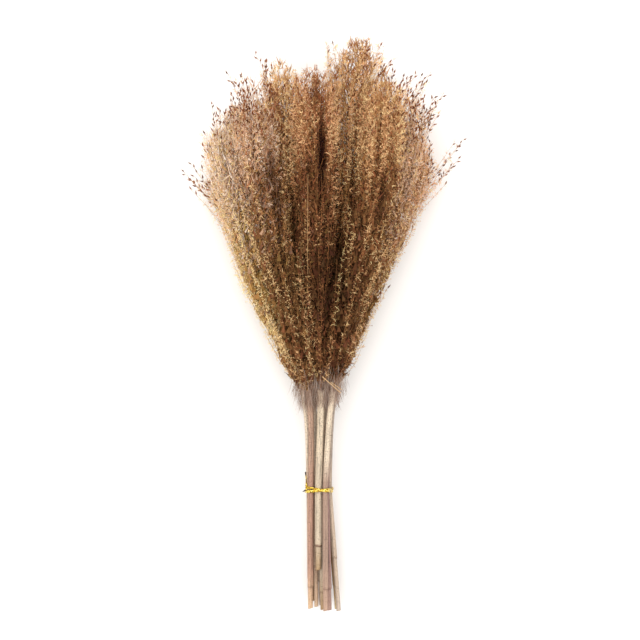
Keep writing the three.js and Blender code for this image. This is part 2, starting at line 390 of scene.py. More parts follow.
def star(form):
    """An open floret: two long curled bracts and two short ones."""
    bract(form, 5.2, 0.56, 0.9, 0.4, 0.2)
    bract(form, 4.8, 0.54, 1.0, 0.55, 2.5)
    bract(form, 3.6, 0.54, -0.8, 0.8, 4.2)
    bract(form, 3.0, 0.5, 0.9, 1.0, 5.6)


def antler(form):
    """A half-open floret that forks."""
    bract(form, 5.0, 0.56, -0.9, 0.35, 0.0)
    bract(form, 4.2, 0.54, -0.9, 0.55, 2.9)
    bract(form, 2.8, 0.54, 0.7, 0.8, 1.5)


def curl(form):
    """A narrow floret that curls over to one side."""
    bract(form, 4.8, 0.56, 1.6, 0.3, 0.4, waist=0.45)
    bract(form, 3.2, 0.5, 1.3, 0.8, 3.3, waist=0.45)


def bud(form):
    """A closed spikelet on its short stalk."""
    needle(form, 1.5, 0.3)
    bract(form, 3.4, 1.3, 0.15, 0.1, 0.0, base=0.9, waist=0.4)


def wisp(form):
    """Silky hairs of an opened floret."""
    needle(form, 7.0, 0.15, 0.16, 0.3)
    needle(form, 6.0, 0.15, 0.34, 2.4)
    needle(form, 7.5, 0.15, 0.26, 4.5)


def hair(form):
    """One long woolly hair of the neck."""
    bract(form, 11.0, 0.2, 0.35, 0.0, 0.0, waist=0.45)


def chaff(form):
    """Packed inner florets, seen only as the depth between the outer ones; dark there as painted shade."""
    needle(form, 7.5, 2.1)


def crumb(form):
    """One loose, curled bract."""
    bract(form, 4.0, 0.55, 1.5, 0.2, 0.0, waist=0.5)


KINDS = {make.__name__: make for make in (antler, bud, chaff, crumb, curl, hair, star, wisp)}
KIND_INDEX = {name: i for i, name in enumerate(sorted(KINDS))}
faces_in = {}
for name, make in KINDS.items():
    form = bmesh.new()
    form.verts.layers.float.new("along")
    form.verts.layers.float.new("across")
    make(form)
    bmesh.ops.scale(form, vec=(MM, MM, MM), verts=form.verts)
    bmesh.ops.recalc_face_normals(form, faces=form.faces)
    bmesh.ops.triangulate(form, faces=form.faces)
    mesh = bpy.data.meshes.new(name)
    form.to_mesh(mesh)
    form.free()
    faces_in[name] = len(mesh.polygons)
    SHAPES.objects.link(bpy.data.objects.new(name, mesh))
print("triangles in each shape:", faces_in)

# %% [markdown]
# Geometry nodes repeat the shapes. A cloud of points carries what each floret needs: which shape, which way
# it points, its size and its tone. A second set of points, joined by edges, becomes thin stalks. The result
# is then kept as a plain mesh, because the export wants real faces and the shapes can be thrown away.


# %% Nodes that turn points into florets and lines into stalks
def step(tree, kind, values=None, **settings):
    """Adds a node to a geometry tree."""
    made = tree.nodes.new("GeometryNode" + kind)
    for key, value in settings.items():
        setattr(made, key, value)
    for key, value in (values or {}).items():
        if isinstance(value, bpy.types.NodeSocket):
            tree.links.new(value, made.inputs[key])
        else:
            made.inputs[key].default_value = value
    return made


def attribute(tree, name, kind):
    """The value of a named attribute."""
    made = step(tree, "InputNamedAttribute", {"Name": name}, data_type=kind)
    return next(s for s in made.outputs if s.enabled and s.name == "Attribute")


def stored(tree, geometry, name, value):
    """The geometry with a number kept on each of its points."""
    values = {"Geometry": geometry, "Name": name, "Value": value}
    return step(tree, "StoreNamedAttribute", values, data_type="FLOAT", domain="POINT").outputs[0]


def new_tree(name):
    """An empty geometry tree, with the socket that it starts from and the one that it ends in."""
    tree = bpy.data.node_groups.new(name, "GeometryNodeTree")
    for way in ("INPUT", "OUTPUT"):
        tree.interface.new_socket("Geometry", in_out=way, socket_type="NodeSocketGeometry")
    start = tree.nodes.new("NodeGroupInput")
    end = tree.nodes.new("NodeGroupOutput")
    return tree, start.outputs[0], end.inputs[0]


sow, points_in, sown_out = new_tree("sow")
shapes = step(sow, "CollectionInfo", {"Collection": SHAPES, "Separate Children": True})
planted = {
    "Points": points_in,
    "Instance": shapes.outputs[0],
    "Pick Instance": True,
    "Instance Index": attribute(sow, "kind", "INT"),
    "Rotation": attribute(sow, "turn", "QUATERNION"),
    "Scale": attribute(sow, "size", "FLOAT_VECTOR"),
}
instances = step(sow, "InstanceOnPoints", planted)
real = step(sow, "RealizeInstances", {"Geometry": instances.outputs[0]})
sow.links.new(real.outputs[0], sown_out)

draw, lines_in, drawn_out = new_tree("draw")
run = step(draw, "MeshToCurve", {"Mesh": lines_in}).outputs[0]
factor = step(draw, "SplineParameter").outputs["Factor"]
circle = step(draw, "CurvePrimitiveCircle", {"Resolution": 3, "Radius": 1.0}).outputs[0]
corner = step(draw, "InputIndex").outputs[0]
pulled = {
    "Curve": stored(draw, run, "along", factor),
    "Profile Curve": stored(draw, circle, "across", corner),
    "Scale": attribute(draw, "radius", "FLOAT"),
    "Fill Caps": True,
}
swept = step(draw, "CurveToMesh", pulled)
draw.links.new(swept.outputs[0], drawn_out)
print("steps in the two trees:", len(sow.nodes), len(draw.nodes))

# %% [markdown]
# A head keeps to its own share of the space: half the way to each neighbour, with a little mingling. Its
# branches leave the middle stalk in a spiral of nine strands, stand out, and then run up almost side by
# side, which gives the upright chains of the photograph. Each line is worked out as points along the
# branch, and all points are combed a little, so that the fan's outline is the one in the photograph.

# %% Lines of the branches
FIRST_BRANCH_Y = 3.0
BASE_GIRTH = 0.6  # the share of its girth that a head has at its foot
BRANCHES = 84
BRANCH_RISE = 84.0  # how far up a branch reaches
STRANDS = 9
STRAND_DROP = 14.0  # how much lower than the tip a strand may end
ROUNDING = 7  # how much lower the outermost branches end
FOOT_BRANCHES = 8
NEAREST = 0.62  # the share of the girth that every branch reaches
CLOSE = 0.6  # how near the stalk's middle a branch begins
MINGLE = 1.2  # how far a head reaches into its neighbour's space
STATIONS = 7
FLOOR_GAP = 1.4
CROWN_COMB = 9
FOOT = (-6, 2, 4, -3, 0, 0, 3, -4, 0, 0, 2, -4, 0, 0)


def smooth(t, start, end):
    """A soft step from 0 at the start to 1 at the end."""
    t = np.clip((np.asarray(t, float) - start) / (end - start), 0, 1)
    return t * t * (3 - 2 * t)


def height_share(reed, y):
    """Heights as shares of the head's length."""
    return (y - FIRST_BRANCH_Y) / (reed.top - FIRST_BRANCH_Y)


def foot_at(reed, share):
    """How far up a head begins, more than the first branches of the model, fading out along the head."""
    return FOOT[REEDS.index(reed)] * (1 - smooth(share, 0, 0.15))


def girth_at(reed, share):
    """How far a head's branches stand out at a share of its length."""
    open_at = BASE_GIRTH + (1 - BASE_GIRTH) * smooth(share, 0, 0.4)
    return reed.girth * open_at * (1 - 0.12 * share * share)


def floret_girth(reed, share):
    """How far the florets stand out, less at the foot of the head."""
    return girth_at(reed, share) * (0.3 + 0.7 * smooth(share, -0.02, 0.12))


def room(reed, y, offset):
    """The share of each offset from a reed's middle that stays in the reed's own space."""
    own = middle(reed, y)
    share = np.ones(len(own))
    for other in REEDS:
        if other is reed:
            continue
        away = middle(other, y) - own
        apart = np.hypot(*away.T)
        toward = (offset * away).sum(1) / apart
        near = (toward > 0) & (y <= other.top + 12)
        limit = np.maximum(0, apart / 2 + MINGLE) / np.maximum(toward, 1e-6)
        share = np.minimum(share, np.where(near, limit, 1))
    return share


COMB = (  # height, factor on the left, factor on the right
    (0, 1.02, 1.0),
    (15, 0.99, 0.95),
    (32, 0.92, 0.86),
    (60, 0.94, 0.86),
    (85, 0.95, 0.9),
    (120, 0.95, 0.97),
    (140, 0.94, 0.99),
    (170, 1.0, 1.04),
    (200, 0.99, 1.03),
    (225, 0.94, 1.02),
    (260, 0.95, 1.02),
)


def combed(points):
    """Combs the points of a head to the fan's outline: a little in at the waist, out at the crown."""
    x, y, z = points.T
    heights, left, right = zip(*COMB)
    factor = np.where(x < 0, np.interp(y, heights, left), np.interp(y, heights, right))
    crown = CROWN_COMB * smooth(y, 225, 268)
    return np.stack([x * factor + crown * smooth(x, 0, 15), y, z], -1)


def beside(reed, y, angle, out):
    """Points beside a reed's middle, kept in its own space and off the table."""
    offset = np.stack([np.cos(angle), np.sin(angle)], -1) * out[:, None]
    offset = offset * room(reed, y, offset)[:, None]
    at = middle(reed, y) + offset
    return combed(np.stack([at[:, 0], y, np.maximum(at[:, 1], FLOOR_GAP)], -1))


def branch_line(reed, root, tip, angle, out, random):
    """A branch from the middle stalk outwards and then up, with a slight waviness."""
    s = np.linspace(0, 1, STATIONS)
    y = root + (tip - root) * s
    stand = CLOSE + (out - CLOSE) * (1 - (1 - s) ** 1.8)
    wave = random.uniform(0.3, 1.1) * np.sin(random.uniform(5, 9) * s + random.uniform(0, 6)) * s
    return beside(reed, y, angle + (wave + 0.25 * s) / np.maximum(stand, 3), stand)


def strand_drops(reed):
    """How much lower than the head's tip each of its strands ends."""
    return STRAND_DROP * np.random.default_rng(REEDS.index(reed)).random(STRANDS) ** 1.5


def branches(reed, random):
    """The lines of a head's branches: short ones at the foot, then from the lowest to the highest."""
    length = reed.top - FIRST_BRANCH_Y
    drops = strand_drops(reed)
    lines = []
    for index in range(FOOT_BRANCHES):
        root = FIRST_BRANCH_Y + float(foot_at(reed, 0)) + random.uniform(-3, 12)
        angle = 2 * math.pi * (index + random.normal(0, 0.2)) / FOOT_BRANCHES
        out = reed.girth * random.uniform(0.62, 0.86)
        lines.append(branch_line(reed, root, root + random.uniform(30, 50), angle, out, random))
    for index in range(BRANCHES):
        u = (index + 0.5) / BRANCHES
        root = FIRST_BRANCH_Y + length * 0.9 * u**0.75
        root += float(foot_at(reed, height_share(reed, root))) + random.normal(0, 1.5)
        reach = BRANCH_RISE * random.uniform(0.55 if u < 0.15 else 0.8, 1.2)
        tip = min(root + reach, reed.top - 12 * random.random())
        strand = index * 4 % STRANDS
        angle = 2 * math.pi * (strand + random.normal(0, 0.17)) / STRANDS
        share = height_share(reed, tip)
        far = math.sqrt(random.random())
        out = girth_at(reed, share) * (NEAREST + (1 - NEAREST) * far)
        tip -= (drops[strand] + ROUNDING * far) * float(smooth(share, 0.8, 0.97))
        lines.append(branch_line(reed, root, tip, angle, out, random))
    return lines


test = branches(REEDS[0], np.random.default_rng(1))
print("branches of head 1:", len(test), "longest in mm:", round(max(np.ptp(line[:, 1]) for line in test)))

# %% [markdown]
# The furthest tips of the head, seen in the photograph's outline, are long, thin side branches.

# %% Side branches that reach the furthest tips
SPRAY_RISE = 62.0
SPRAYS = (  # head and tip: across, up and over the table
    (8, (-106, 171, 26)),
    (8, (-99, 176, 38)),
    (8, (-97, 160, 18)),
    (4, (-87, 221, 64)),
    (1, (-73, 243, 88)),
    (1, (-65, 247, 90)),
    (1, (-59, 238, 86)),
    (5, (-51, 259, 78)),
    (6, (29, 266, 84)),
    (6, (50, 257, 70)),
    (10, (66, 243, 46)),
    (3, (79, 239, 90)),
    (3, (70, 245, 86)),
    (7, (80, 246, 72)),
    (7, (94, 231, 66)),
    (11, (111, 198, 34)),
    (11, (100, 176, 22)),
)


def spray_line(reed, x, y, z):
    """A side branch that reaches a tip."""
    across, height = (x, z) - middle(reed, y)
    s = np.linspace(0, 1, STATIONS)
    out = CLOSE + math.hypot(across, height) * np.interp(s, (0, 0.6, 1), (0, 0.5, 1))
    angle = np.full(STATIONS, math.atan2(height, across))
    return beside(reed, y - SPRAY_RISE * (1 - s), angle, out)


def sprays(number, reed):
    """The side branches of one head: four that end close together at each of its far tips."""
    lines = []
    for owner, (x, y, z) in SPRAYS:
        if owner == number:
            tips = ((x, y, z), (0.95 * x, y - 7, z + 4), (0.97 * x, y - 14, z - 4), (0.92 * x, y - 4, z))
            lines += [spray_line(reed, *tip) for tip in tips]
    return lines


print("side branches:", sum(len(sprays(number, reed)) for number, reed in enumerate(REEDS, 1)))

# %% [markdown]
# Florets sit on alternate sides of their branch and lean towards its tip. Near the tips of the fan the
# reed has kept its closed buds, lower down the florets are open, and where the seed has gone silky hairs
# make a haze. Each floret gets its tone here: a hue that drifts over the head and a brightness of its own.


# %% Where the florets sit
def turns(directions, spins):
    """Quaternions that turn +Z to each direction after a spin about it, in Blender's order w, x, y, z."""
    x, y, z = directions.T
    tilt = np.stack([1 + z, -y, x, np.zeros(len(z))], -1)
    tilt[z < -0.999] = (0, 1, 0, 0)
    tilt /= np.linalg.norm(tilt, axis=1)[:, None]
    half_cos, half_sin = np.cos(spins / 2), np.sin(spins / 2)
    w, i, j, _ = tilt.T
    return np.stack(
        [w * half_cos, i * half_cos + j * half_sin, j * half_cos - i * half_sin, w * half_sin], -1
    )


def unit(vectors):
    """The vectors at a length of 1."""
    return vectors / np.linalg.norm(vectors, axis=-1)[..., None]


def along_line(line, gap, random, skip=0.0):
    """Places at about equal gaps along a line, with the line's direction and its share of the way."""
    lengths = np.concatenate([[0], np.cumsum(np.linalg.norm(np.diff(line, axis=0), axis=1))])
    count = max(2, int((lengths[-1] - skip) / gap))
    at = skip + (lengths[-1] - skip) * (np.arange(count) + random.uniform(0.3, 1, count)) / count
    at = np.minimum(at, lengths[-1])
    spots, ahead, behind = (
        np.stack([np.interp(at + shift, lengths, axis) for axis in line.T], -1) for shift in (0, 1.5, -1.5)
    )
    return spots, unit(ahead - behind), at / lengths[-1]


def carry(mesh, name, kind, values):
    """Keeps a value for each point of a mesh."""
    field = "vector" if kind == "FLOAT_VECTOR" else "value"
    mesh.attributes.new(name, kind, "POINT").data.foreach_set(field, values.ravel())


class Sown:
    """Points that florets will grow on, gathered for one head."""

    def __init__(self, random):
        self.random = random
        self.gathered = []

    def add(self, kind, spots, directions, sizes, hue, value, rise, keep=slice(None)):
        """Adds the kept points, of one kind of floret or of a kind each, with their directions and tones."""
        kinds = np.full(len(spots), KIND_INDEX[kind]) if isinstance(kind, str) else kind
        directions = unit(directions[keep])
        spins = self.random.uniform(0, 2 * math.pi, len(directions))
        tones = np.stack(np.broadcast_arrays(hue, value, rise), -1)
        sizes = sizes * np.ones(3)
        self.gathered.append((spots[keep], kinds[keep], turns(directions, spins), sizes[keep], tones[keep]))

    def cloud(self):
        """A mesh of loose points with what they carry."""
        spots, kinds, quaternions, sizes, tones = (np.concatenate(column) for column in zip(*self.gathered))
        mesh = bpy.data.meshes.new("cloud")
        mesh.vertices.add(len(spots))
        mesh.vertices.foreach_set("co", placed(spots).ravel())
        carry(mesh, "kind", "INT", kinds)
        carry(mesh, "turn", "QUATERNION", quaternions)
        carry(mesh, "size", "FLOAT_VECTOR", sizes)
        carry(mesh, "tone", "FLOAT_VECTOR", tones)
        return mesh


def sideways(directions, random, start, alternate=True):
    """Directions square to a line's, on alternate sides."""
    one = unit(np.cross(directions, (0.13, 0.02, 1.0)))
    two = np.cross(directions, one)
    count = len(directions)
    angle = start + (np.arange(count) * math.pi if alternate else 0) + random.normal(0, 0.5, count)
    return one * np.cos(angle)[:, None] + two * np.sin(angle)[:, None]


print("turns of +Z to +X:", turns(np.array([[1.0, 0, 0]]), np.zeros(1)).round(3))

# %% [markdown]
# The colour of every small face comes from one map, laid out by tone. To the right the hue runs from
# olive and straw over brown and rust to a pinkish beige and the grey of the wool, and upwards the
# brightness, painted light and shade included, runs from the dark depth of a head to its palest hairs.
# Faces with the same tone may share a spot, because they share a colour.

# %% The heads' colour
OLIVE, STRAW, TAN, RUST, ROSE, WOOLLY = 0.04, 0.25, 0.46, 0.67, 0.86, 0.98
FLORET_COLOURS = {
    OLIVE: ((32, 21, 5), (154, 130, 66), (234, 220, 148)),
    STRAW: ((30, 17, 5), (174, 134, 76), (250, 228, 170)),
    TAN: ((26, 13, 4), (162, 114, 70), (244, 212, 158)),
    RUST: ((40, 12, 8), (156, 92, 60), (234, 176, 128)),
    ROSE: ((74, 42, 30), (204, 168, 138), (248, 226, 202)),
    WOOLLY: ((80, 60, 50), (158, 132, 118), (232, 222, 212)),
}


def tone_material(name):
    """Dry floret colour, from the map called tone: dark, middle and pale colours over the hue."""
    look = Material(name, Specular_IOR_Level=0.08)
    tone = look.node("UVMap", uv_map="tone").out("UV")
    parts = look.node("SeparateXYZ", {"Vector": tone})
    hue, value = parts.out("X"), parts.out("Y")
    dark, mid, pale = (hue.ramp(*zip(FLORET_COLOURS, column)) for column in zip(*FLORET_COLOURS.values()))
    grain = look.noise(tone, scale=90, detail=2)
    bright = value + (grain - 0.5) * 0.1
    lower = look.mix(bright * 2, dark, mid)
    colour = look.mix(bright * 2 - 1, lower, pale)
    return look.shine(Base_Color=colour, Roughness=0.62 + 0.25 * grain)


plume_look = tone_material("dry florets")
print("nodes in the florets' material:", len(plume_look.node_tree.nodes))

# %% [markdown]
# Points and lines go through their trees here and come back as plain meshes. The stalks carry a radius and a
# tone at each point, every face gets its place on the colour map, and the parts of a head are joined to one
# piece. Whatever would hang through the table is pressed flat on it, as the bunch's own weight does.


# %% From points and lines to one piece
STALK_RISE = 0.1
RISE_MIDDLE = 0.4


def grown(name, mesh, tree):
    """The mesh that a node tree makes from points or lines."""
    thing = made_object(name, mesh)
    thing.modifiers.new("grow", "NODES").node_group = tree
    depsgraph = bpy.context.evaluated_depsgraph_get()
    made = bpy.data.meshes.new_from_object(thing.evaluated_get(depsgraph))
    bpy.data.objects.remove(thing)
    bpy.data.meshes.remove(mesh)
    return made


def stalk_mesh(drawn, hue):
    """Points and edges of many lines, each given with its radii and its brightness."""
    lines, radii, values = zip(*drawn)
    counts = [len(line) for line in lines]
    starts = np.cumsum([0, *counts[:-1]])
    pairs = [(start + i, start + i + 1) for start, count in zip(starts, counts) for i in range(count - 1)]
    mesh = bpy.data.meshes.new("stalks")
    mesh.from_pydata(placed(np.concatenate(lines)), pairs, [])
    tones = [np.tile((hue, value, STALK_RISE), (count, 1)) for value, count in zip(values, counts)]
    carry(mesh, "radius", "FLOAT", np.concatenate(radii) * MM)
    carry(mesh, "tone", "FLOAT_VECTOR", np.concatenate(tones))
    return mesh


def read(mesh, name, width=1):
    """The values that a mesh carries on its points, one column for each part of a value."""
    values = np.empty(len(mesh.vertices) * width, np.float32)
    mesh.attributes[name].data.foreach_get("vector" if width == 3 else "value", values)
    return values.reshape(-1, width).T


def lay_out(mesh):
    """Writes the colour map: the tone of each point, a little wider across and brighter towards tips."""
    hue, value, rise = read(mesh, "tone", 3)
    across = np.sin(read(mesh, "across")[0] * 2.1)
    along = read(mesh, "along")[0]
    spread = np.stack([hue + 0.02 * across, value + rise * (along - RISE_MIDDLE)], -1)
    spread[:, 1] += 0.01 * np.cos(across * 3)
    corner = np.empty(len(mesh.loops), np.int32)
    mesh.loops.foreach_get("vertex_index", corner)
    flat = np.clip(spread, 0.005, 0.995)[corner].astype(np.float32).ravel()
    for name in ("tone", "OFBake"):
        mesh.uv_layers.new(name=name).uv.foreach_set("vector", flat)


def join(name, meshes, look):
    """One object of several meshes."""
    things = [made_object(f"{name}.{i}", mesh) for i, mesh in enumerate(meshes)]
    with bpy.context.temp_override(active_object=things[0], selected_editable_objects=things):
        bpy.ops.object.join()
    whole = things[0]
    whole.name = name
    whole.data.name = name
    whole.data.materials.clear()
    whole.data.materials.append(look)
    return whole


def off_the_table(mesh):
    """Flattens whatever would reach below the table's top."""
    places = np.empty(len(mesh.vertices) * 3, np.float32)
    mesh.vertices.foreach_get("co", places)
    places[2::3] = np.maximum(places[2::3], 0.02 * MM)
    mesh.vertices.foreach_set("co", places)


trial = stalk_mesh([(line, np.ones(STATIONS), 0.5) for line in test], STRAW)
print("points and edges of one head's branches:", len(trial.vertices), len(trial.edges))
bpy.data.meshes.remove(trial)

# %% [markdown]
# Light and depth make a bunch of florets read as separate heads. The florets are palest where silk catches
# the light, by their own pale silk and by painted light: at the left outline, near the crown and left of the
# fan's foot, and the painted light also changes with the height in the fan. Between the heads the photograph
# shows dark hollows. They are soft spots here: florets in them are fewer, and painted shade dims them.

# %% Hue and brightness in the fan
# Half the fan's width at a few heights.
HALF_WIDTH = ((0, 23), (35, 34), (66, 49), (97, 63), (129, 75), (160, 93), (191, 97), (222, 90), (253, 55))
# Hollows between the heads: fewer florets there, and painted shade dims the rest.
SHADED_HOLLOWS = (  # place across and up, width and length, depth
    (9, 84, 17, 50, 0.88),
    (17, 106, 6, 24, 1.0),
    (0, 98, 4, 20, 0.8),
    (-2.5, 226, 3.2, 13, 0.8),
    (1.5, 178, 4, 34, 1.5),
    (17, 14, 8, 11, 0.8),
    (-39, 163, 5, 20, 0.7),
    (-31, 138, 6, 20, 0.6),
    (48, 142, 8, 22, 0.65),
    (27, 138, 4, 26, 0.6),
    (-18, 128, 5, 34, 0.7),
    (-30, 95, 5, 26, 0.4),
    (-36, 170, 3, 16, 1.0),
    (-31, 152, 3, 14, 1.0),
    (-9, 166, 3, 18, 0.9),
    (24, 150, 3, 18, 0.7),
    (48, 151, 3, 16, 1.0),
    (58, 166, 3, 14, 0.7),
)
# Painted light: paler silk lit near the outline, a base everywhere, steps by height and more left of the
# foot.
LEFT_SILK_LIGHT, RIGHT_SILK_LIGHT, UPPER_RIGHT_SILK_LIGHT = 0.72, 0.18, 0.26
PALE_EVERYWHERE = 0.23
PAINTED_LIGHT_STEPS = ((-0.1, 100, 150), (0.44, 140, 215), (-0.26, 225, 265))  # change, from and to a height
PALE_FOOT = 0.12
FOOT_HUE, FOOT_PULL = 0.54, 0.8
TURNED_AT_TOP = 0.75


def hue_at(reed, share, random, spread=0.08):
    """The head's hue at a share of its length, a little different for each floret."""
    low = reed.hue + FOOT_PULL * (FOOT_HUE - reed.hue) * (1 - smooth(share, 0.03, 0.25))
    turned = random.random(len(share)) < TURNED_AT_TOP * smooth(share, 0.35, 0.8)
    return np.where(turned, reed.hue_top, low) + random.normal(0, spread, len(share))


def hollow_at(spots):
    """How open the fan is at a place and how much painted shade it gets, from the hollows seen between its
    heads.
    """
    x, y, _ = spots.T
    depth = np.zeros(len(spots))
    for across, up, wide, long, share in SHADED_HOLLOWS:
        depth = np.maximum(depth, share * np.exp(-(((x - across) / wide) ** 2) - ((y - up) / long) ** 2))
    return depth


def outward(spots):
    """How far out a place lies across the fan: 0 in the middle, 1 at the outline."""
    x, y, _ = spots.T
    return np.abs(x) / np.interp(y, *zip(*HALF_WIDTH))


def lit(spots, value, shade_share, glow=1.0):
    """A floret's brightness where it sits: painted shade in the hollows, pale silk and painted light near the
    outline.
    """
    x, y, _ = spots.T
    right = RIGHT_SILK_LIGHT + UPPER_RIGHT_SILK_LIGHT * smooth(y, 110, 170)
    side = np.where(x < 0, LEFT_SILK_LIGHT, right) * smooth(y, 0, 70)
    # Pale silk and painted light near the outline, plus painted light by height and at the foot.
    silk_and_light = side * smooth(outward(spots), 0.53, 1) * (1 - 0.6 * smooth(y, 180, 230))
    silk_and_light += sum((change * smooth(y, start, end) for change, start, end in PAINTED_LIGHT_STEPS), PALE_EVERYWHERE)
    silk_and_light += PALE_FOOT * (1 - smooth(y, 55, 90)) * smooth(x, 8, -12)
    hollow = hollow_at(spots)
    # Painted shade dims the hollows and takes the painted light out of them.
    return np.clip(value, 0, 1) * (1 - shade_share * hollow) + glow * silk_and_light * np.maximum(1 - hollow, 0)


trial = np.array([[9.0, 84, 60], [-60, 150, 40]])
print("brightness of one tone in a hollow and at the left outline:", lit(trial, 0.5, 0.85).round(2))

# %% [markdown]
# Under the branches a head is filled in layers: a bed of dark chaff, painted shade that fills the head's
# depth and hides the ground, a core round the stalk that is painted shade as well, tufts of needles that
# end the strands at the crown, and loose crumbs that soften the surface. The heads that lie on the table
# get a wider bed, because nothing else closes them from below.


# %% The layers inside a head
@dataclass(frozen=True)
class Layer:
    """Small florets strewn between two shares of a head's length and of its girth."""

    kind: str
    count: int
    span: tuple
    reach: tuple
    stray: float  # how far the florets lean off the upright
    width: tuple  # from here on, a pair goes from the head's foot to its top
    dark: tuple
    pale: tuple
    # The share of the painted light that a layer's florets get.
    glow: float = 1.0
    stranded: bool = False


# Painted shade: the bed and the core are dark chaff where a head's depth lies in shadow.
SHADE_BED = Layer("chaff", 1560, (0.0, 0.89), (0, 0.68), 0.5, (1.0, 0.65), (0.0, 0.26), (0.16, 0.5), 0.4)
LOW_SHADE_BED = replace(SHADE_BED, reach=(0, 1.1), width=(1.2, 0.78))
LAYERS = (
    Layer("chaff", 440, (0.02, 0.94), (0, 0.68), 0.3, (2.2, 0.8), (0.05, 0.22), (0.15, 0.4), 0.4),
    Layer("chaff", 860, (0.76, 0.98), (0.1, 0.78), 0.5, (0.5, 0.45), (0.12, 0.14), (0.4, 0.5), 0.5, True),
    Layer("crumb", 800, (-0.02, 0.95), (0.4, 0.9), 2.2, (0.9, 0.9), (0.0, 0.2), (0.5, 0.85)),
    Layer("crumb", 1050, (0.7, 0.99), (0.3, 0.95), 1.7, (1.1, 1.0), (0.0, 0.1), (0.6, 1.05), 1.0, True),
)
LAYER_RISE = 0.12


def between(ends, share):
    """A value on the way from one end to the other."""
    return ends[0] + (ends[1] - ends[0]) * share


def strew(reed, layer, sown):
    """Fills one layer of a head."""
    random, count = sown.random, layer.count
    share = between(layer.span, random.random(count) ** 0.8)
    y = FIRST_BRANCH_Y + (reed.top - FIRST_BRANCH_Y) * share + foot_at(reed, share)
    wide = floret_girth(reed, share) * np.sqrt(1 - np.clip((share - 0.84) / 0.165, 0, 1) ** 2)
    out = wide * np.sqrt(random.uniform(layer.reach[0] ** 2, layer.reach[1] ** 2, count))
    angle = random.uniform(0, 2 * math.pi, count)
    if layer.stranded:
        strand = random.integers(0, STRANDS, count)
        angle = 2 * math.pi * (strand + random.normal(0, 0.16, count)) / STRANDS
        y = y - strand_drops(reed)[strand] * smooth(share, 0.7, 0.95)
    spots = beside(reed, y, angle, out)
    aslant = random.normal(0, layer.stray, (2, count))
    directions = np.stack([aslant[0], np.ones(count), aslant[1]], -1)
    width = between(layer.width, smooth(share, 0.25, 0.8))
    sizes = random.uniform(0.6, 1.1, (count, 1)) * np.stack([width, width, np.ones(count)], -1)
    lift = smooth(share, 0.3, 0.85)
    dark = between(layer.dark, lift)
    pale = between(layer.pale, lift) - reed.shade * lift
    value = lit(spots, dark + (pale - dark) * random.random(count) ** 1.3, 0.85, layer.glow)
    hue = hue_at(reed, share, random)
    keep = random.random(count) > reed.buds * smooth(share, 0.74, 0.86)
    sown.add(layer.kind, spots, directions, sizes, hue, value, LAYER_RISE, keep)


print("florets strewn in a head:", sum(layer.count for layer in (SHADE_BED, *LAYERS)))

# %% [markdown]
# The branches carry the florets that are seen one by one. A third of them shine. Where a branch still runs
# inside the head they are fewer, and painted shade dims them; near the far tips they are closed, rusty buds.
# Loose small bracts go close along the branch, and some branches have silky hairs where they reach the
# outline.

# %% Florets along the branches
FLORET_GAP = 3.0
DOWN_GAP = 1.6
HAIR_GAP = 5.0
LOWEST = 3.0
OPEN_KINDS = [KIND_INDEX[kind] for kind in ("star", "antler", "curl", "curl", "curl")]
SHINY = 0.34
FLORET_RISE, DOWN_RISE, HAIR_RISE = 0.4, 0.2, 0.3


def inside(share, line, start, end):
    """How deep in the head a place on a branch lies: 1 near its root, 0 further out or at the head's foot."""
    return (1 - smooth(share, start, end)) * smooth(line[0, 1], 15, 60)


def down(reed, buds, line, own, hue, sown):
    """Loose small bracts close along a branch."""
    random = sown.random
    spots, ahead, share = along_line(line, DOWN_GAP, random, skip=LOWEST)
    count = len(spots)
    away = sideways(ahead, random, random.uniform(0, 6), False)
    spots = spots + away * random.uniform(0, 2.2, (count, 1))
    # Painted shade: bracts deep inside the head are dimmed.
    painted_shade = 0.2 * inside(share, line, 0, 0.5)
    value = lit(spots, own + 0.2 + 0.6 * random.random(count) - painted_shade, 0.85)
    hue = hue + random.normal(0, 0.06, count)
    sizes = random.uniform(0.6, 1.0, (count, 1))
    budding = 1.1 * buds * smooth(height_share(reed, spots[:, 1]), 0.76, 0.88)
    keep = random.random(count) > np.maximum(0.8 * inside(share, line, 0.15, 0.4), budding)
    sown.add("crumb", spots, ahead * 0.4 + away, sizes, hue, value, DOWN_RISE, keep)


def branch_florets(reed, buds, line, sown):
    """The florets on one branch, open ones below and buds near the head's tip."""
    random = sown.random
    spots, ahead, share = along_line(line, FLORET_GAP, random, skip=LOWEST)
    count = len(spots)
    height = height_share(reed, spots[:, 1])
    lean = random.uniform(0.6, 1.35, count)[:, None]
    side = sideways(ahead, random, random.uniform(0, 2 * math.pi))
    closed = random.random(count) < 1.2 * buds * (smooth(height, 0.74, 0.92) + 0.3 * smooth(share, 0.75, 1))
    lean[closed] *= 0.45
    directions = ahead * np.cos(lean) + side * np.sin(lean)
    kinds = np.where(closed, KIND_INDEX["bud"], random.choice(OPEN_KINDS, count))
    sizes = random.uniform(0.65, 1.1, (count, 1))
    sizes[closed] = random.uniform(0.95, 1.3)
    own = random.normal(0, 0.14)
    shiny = random.random(count) < SHINY
    value = np.where(shiny, random.uniform(0.65, 1.05, count), random.uniform(0.15, 0.65, count))
    # Painted shade deep inside the head, plus each head's shade towards its top.
    painted_shade = reed.shade * height + 0.25 * inside(share, line, 0, 0.5)
    value = lit(spots, value + own - painted_shade, 0.6)
    value = np.where(closed, random.uniform(0.1, 0.4, count), value)
    hue = hue_at(reed, height, random, 0.06) + random.normal(0, 0.05)
    hue = np.where(closed, RUST + 0.03 * random.normal(0, 1, count), hue)
    spare = np.where(closed, 0.4, 0.5 * inside(share, line, 0.15, 0.4))
    keep = random.random(count) > np.maximum(0.8 * hollow_at(spots), spare)
    sown.add(kinds, spots, directions, sizes, hue, value, FLORET_RISE, keep)
    down(reed, buds, line, own, hue.mean(), sown)


